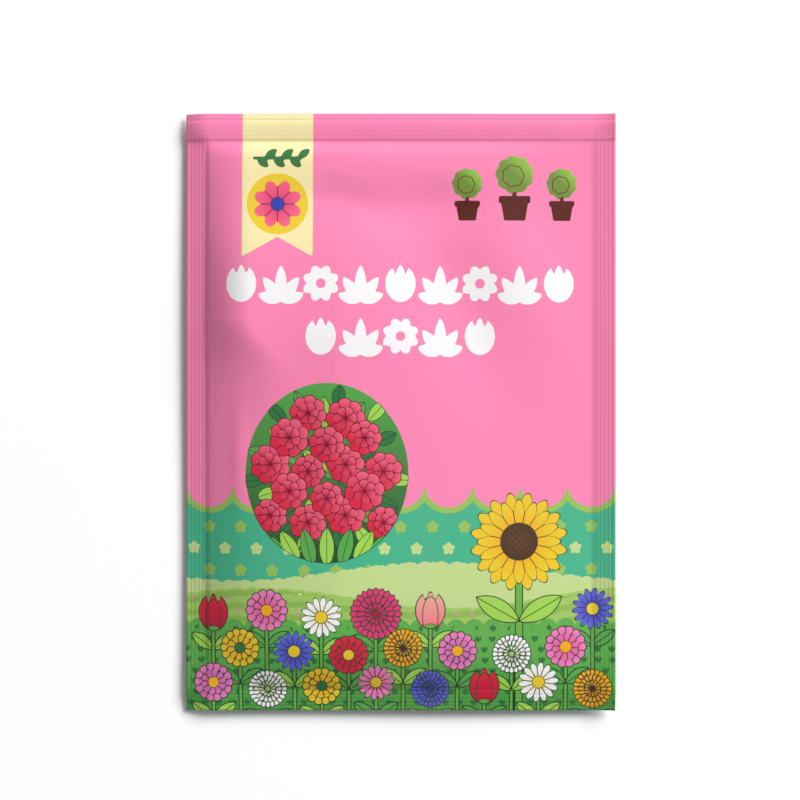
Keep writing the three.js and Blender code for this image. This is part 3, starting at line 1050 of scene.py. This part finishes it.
def printed_film(name, ground, plates):
    """A printed laminate: flat inks under a clear satin film, whitish on the inside."""
    tree = Tree(name)
    soft = INK_SOFTNESS
    colour = ground
    for plate in plates:
        edge = tree.attribute(plate.name + "_edge")
        tint = tree.attribute(plate.name + "_tint", colour=True)
        colour = tree.mix(tree.remap(edge, soft, -soft), colour, tint)
        for distance, width in (("_line", plate.lines), ("_edge", plate.outline)):
            if not width:
                continue
            away = tree.math("ABSOLUTE", tree.attribute(plate.name + distance))
            drawn = tree.remap(away, width / 2 + soft, width / 2 - soft)
            if distance == "_line":
                drawn = tree.math("MULTIPLY", drawn, tree.remap(edge, soft, -soft))
            colour = tree.mix(drawn, colour, plate.line_colour)
    mottle = tree.remap(tree.noise(55, 3), *NOISE_SPAN, 0.0, 0.045)
    colour = tree.mix(mottle, colour, MOTTLE)
    side = tree.remap(tree.attribute("printed_side"), 0.45, 0.9)
    tree.link(tree.mix(side, INSIDE, colour), tree.shader.inputs["Base Color"])
    gloss = tree.remap(tree.noise(42, 4), *NOISE_SPAN, *FILM_ROUGHNESS)
    tree.link(gloss, tree.shader.inputs["Roughness"])
    tree.shader.inputs["Specular IOR Level"].default_value = SOFT_SHINE
    tree.bump(tree.noise(240, 3, stretch=(1, 0.45, 1)), 0.05, 0.4 * MM)
    return tree.material


def seed_coat():
    """A dry seed coat: brown ground, mottled cream and dark, with a fine rough skin."""
    tree = Tree("mottled seed coat")
    colour = tree.mix(tree.attribute("seed_tone"), SEED_DARK, SEED_LIGHT)
    colour = tree.mix(tree.remap(tree.noise(1500, 4, 0.6), 0.50, 0.62), colour, SEED_SPECK)
    colour = tree.mix(tree.remap(tree.noise(900, 2), 0.60, 0.70), colour, SEED_CREAM)
    tree.link(colour, tree.shader.inputs["Base Color"])
    gloss = tree.remap(tree.noise(700, 3), *NOISE_SPAN, *SEED_ROUGHNESS)
    tree.link(gloss, tree.shader.inputs["Roughness"])
    tree.bump(tree.noise(2600, 4), 0.35, 0.12 * MM)
    return tree.material


def table_top():
    """Smooth white board."""
    tree = Tree("white board")
    shade = tree.remap(tree.noise(3, 3), *NOISE_SPAN)
    tree.link(tree.mix(shade, *BOARD_TINTS), tree.shader.inputs["Base Color"])
    tree.shader.inputs["Roughness"].default_value = 0.8
    tree.shader.inputs["Specular IOR Level"].default_value = SOFT_SHINE
    return tree.material


# ---------------------------------------------------------------- pieces

SEAL_STEP = 0.2
FRONT_STEP = 0.395
# Steps up the front: in the bed of flowers, the rest of the picture, above it and in the emblems
BED_STEP, PICTURE_STEP, PLAIN_STEP, EMBLEM_STEP = 0.36, 0.45, 0.62, 0.52
BED_END, PICTURE_END, EMBLEM_START = -42, 8, 42
BACK_STEP = 0.58


def film_piece(name, finish, step, body_rows, outside, inside, print_on):
    """A film with its finish: a grid that is fine over the seals, and as asked over the body."""
    xs = stops([
        (-HALF_WIDTH, -BODY_HALF_WIDTH, SEAL_STEP),
        (-BODY_HALF_WIDTH, BODY_HALF_WIDTH, step),
        (BODY_HALF_WIDTH, HALF_WIDTH, SEAL_STEP),
    ])
    ys = stops([
        (-HALF_HEIGHT, BODY_BOTTOM, SEAL_STEP),
        *body_rows,
        (BODY_TOP, HALF_HEIGHT, SEAL_STEP),
    ])
    mesh = film_mesh(name, xs, ys, outside, inside, print_on)
    sample = np.zeros(1)
    return add_piece(name, mesh, printed_film(finish, PINK, print_on(sample, sample)))


def make_front():
    """The puffed film with the picture."""
    rows = [
        (BODY_BOTTOM, BED_END, BED_STEP),
        (BED_END, PICTURE_END, PICTURE_STEP),
        (PICTURE_END, EMBLEM_START, PLAIN_STEP),
        (EMBLEM_START, BODY_TOP, EMBLEM_STEP),
    ]
    piece = film_piece(
        "printed_front_film", "printed front laminate", FRONT_STEP, rows,
        front_outside, front_inside, front_print,
    )
    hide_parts("front_film")
    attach(piece, "root")


def make_back():
    """The film that the packet lies on."""
    piece = film_piece(
        "printed_back_film", "printed back laminate", BACK_STEP,
        [(BODY_BOTTOM, BODY_TOP, BACK_STEP)], back_outside, back_inside, back_print,
    )
    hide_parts("back_film")
    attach(piece, "root")


SEED_RINGS, SEED_SIDES = 13, 20
SEED_TAPER = 0.25  # how much slimmer a seed grows over its length
SCAR_DEPTH, SCAR_LENGTH, SCAR_WIDTH = 0.10, 0.16, 0.25  # in shares of the seed's own size
TONE_STEP = 0.618  # spreads the seeds' tones evenly between the darkest and the lightest


def seed_shape():
    """A plump seed: a ball drawn out to its length, blunt at one end, with a shallow scar.

    Returns points for a seed one unit long, wide and high, and its faces. The two poles are
    single points, and the rings between them are joined by quads.
    """
    tilt = np.linspace(0, np.pi, SEED_RINGS + 2)[1:-1]
    turn = np.linspace(0, 2 * np.pi, SEED_SIDES, endpoint=False)
    tilt, turn = (part.ravel() for part in np.meshgrid(tilt, turn, indexing="ij"))
    along = np.cos(tilt) / 2
    ring = np.sin(tilt) / 2
    reach = (along / SCAR_LENGTH) ** 2 + ((1 - np.cos(turn)) / SCAR_WIDTH) ** 2
    width = ring * (1 - SEED_TAPER * along) * (1 - SCAR_DEPTH * np.exp(-reach))
    points = np.stack([along, width * np.cos(turn), ring * np.sin(turn)], 1)
    points = np.concatenate([points, [[0.5, 0, 0], [-0.5, 0, 0]]])
    sides = np.arange(SEED_SIDES)
    after = (sides + 1) % SEED_SIDES
    first = np.arange(SEED_RINGS - 1)[:, None] * SEED_SIDES
    quads = np.stack([first + sides, first + SEED_SIDES + sides, first + SEED_SIDES + after,
                      first + after], 2).reshape(-1, 4)
    count = SEED_RINGS * SEED_SIDES
    last = count - SEED_SIDES
    blunt = np.stack([np.full(SEED_SIDES, count), sides, after], 1)
    slim = np.stack([np.full(SEED_SIDES, count + 1), last + after, last + sides], 1)
    return points, quads, np.concatenate([blunt, slim])


def seed_axes(name):
    """A seed node's middle, its long direction in plan, and its length, width and height."""
    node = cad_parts[name]
    place = np.empty(len(node.data.vertices) * 3, np.float32)
    node.data.vertices.foreach_get("co", place)
    place = place.reshape(-1, 3).astype(float) / MM
    middle = (place.max(0) + place.min(0)) / 2
    flat = place[:, :2] - place[:, :2].mean(0)
    side, along = np.linalg.eigh(flat.T @ flat)[1].T
    length = np.ptp(flat @ along)
    width = np.ptp(flat @ side)
    return middle, along, np.array([length, width, np.ptp(place[:, 2])])


def make_seeds():
    """All the loose seeds, each on its own node's place, as one piece of many closed bodies."""
    names = sorted(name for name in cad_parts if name.startswith("seed_"))
    unit, quads, triangles = seed_shape()
    points, all_quads, all_triangles, tones = [], [], [], []
    for index, name in enumerate(names):
        middle, along, size = seed_axes(name)
        side = np.array([-along[1], along[0]])
        shaped = unit * size
        plan = shaped[:, :1] * along + shaped[:, 1:2] * side
        points.append(np.column_stack([plan, shaped[:, 2]]) + middle)
        all_quads.append(quads + index * len(unit))
        all_triangles.append(triangles + index * len(unit))
        tones.append(np.full(len(unit), (index * TONE_STEP) % 1))
    mesh = new_mesh("loose_seeds", np.concatenate(points), np.concatenate(all_quads),
                    np.concatenate(all_triangles))
    give_value(mesh, "seed_tone", np.concatenate(tones))
    piece = add_piece("loose_seeds", mesh, seed_coat())
    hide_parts(*names)
    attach(piece, "root")


# ---------------------------------------------------------------- table, light and camera

TABLE_SIZE = 5000
TABLE_DROP = 0.05  # the table is this little below the packet, so that they don't share a face

# The photograph shows the packet 429.5 pixels wide in its 800, its middle at (400.5, 412.25)
FRAME_PIXELS = 800
PACKET_PIXELS = 429.5
PACKET_MIDDLE_PIXEL = (400.5, 412.25)
LENS, SENSOR = 100, 36


def make_table():
    """One flat square."""
    half = TABLE_SIZE / 2
    corners = np.array([[-half, -half], [half, -half], [half, half], [-half, half]])
    points = np.column_stack([corners, np.full(4, -TABLE_DROP)])
    mesh = new_mesh("table", points, np.array([[0, 1, 2, 3]]), np.empty((0, 3), int))
    add_piece("table", mesh, table_top())


KEY_FROM = (42, 34)  # the key light's azimuth and elevation in degrees
KEY_DISTANCE, KEY_SIZE, KEY_POWER = 6, 3.2, 527  # in metres and watts
FILL = 0.274  # the strength of the white sky


def make_light(name, direction, distance, size, power):
    """A square soft light aimed at the packet."""
    data = bpy.data.lights.new(name, "AREA")
    data.size, data.energy = size, power
    light = bpy.data.objects.new(name, data)
    azimuth, elevation = (math.radians(angle) for angle in direction)
    level = distance * math.cos(elevation)
    light.location = (
        level * math.cos(azimuth), level * math.sin(azimuth), distance * math.sin(elevation)
    )
    light.rotation_mode = "QUATERNION"
    light.rotation_quaternion = (-light.location).to_track_quat("-Z", "Y")
    bpy.context.scene.collection.objects.link(light)


def make_studio():
    """An even white sky and one broad light."""
    world = bpy.data.worlds.new("pale studio")
    world.use_nodes = True
    background = world.node_tree.nodes["Background"]
    background.inputs["Color"].default_value = (1, 1, 1, 1)
    background.inputs["Strength"].default_value = FILL
    bpy.context.scene.world = world
    make_light("key", KEY_FROM, KEY_DISTANCE, KEY_SIZE, KEY_POWER)


def make_camera():
    """Straight over the packet, as the photograph looks at its front."""
    pixel = 2 * HALF_WIDTH / PACKET_PIXELS
    view_width = FRAME_PIXELS * pixel
    data = bpy.data.cameras.new("camera")
    data.lens, data.sensor_width = LENS, SENSOR
    data.clip_start, data.clip_end = 0.01, 20
    camera = bpy.data.objects.new("camera", data)
    camera.location = (
        (FRAME_PIXELS / 2 - PACKET_MIDDLE_PIXEL[0]) * pixel * MM,
        (PACKET_MIDDLE_PIXEL[1] - FRAME_PIXELS / 2) * pixel * MM,
        (SEAM_LEVEL + FILM + view_width * LENS / SENSOR) * MM,
    )
    bpy.context.scene.collection.objects.link(camera)
    bpy.context.scene.camera = camera


make_camera()
make_front()
make_back()
make_seeds()
make_table()
make_studio()
bpy.context.scene.view_settings.view_transform = "Standard"
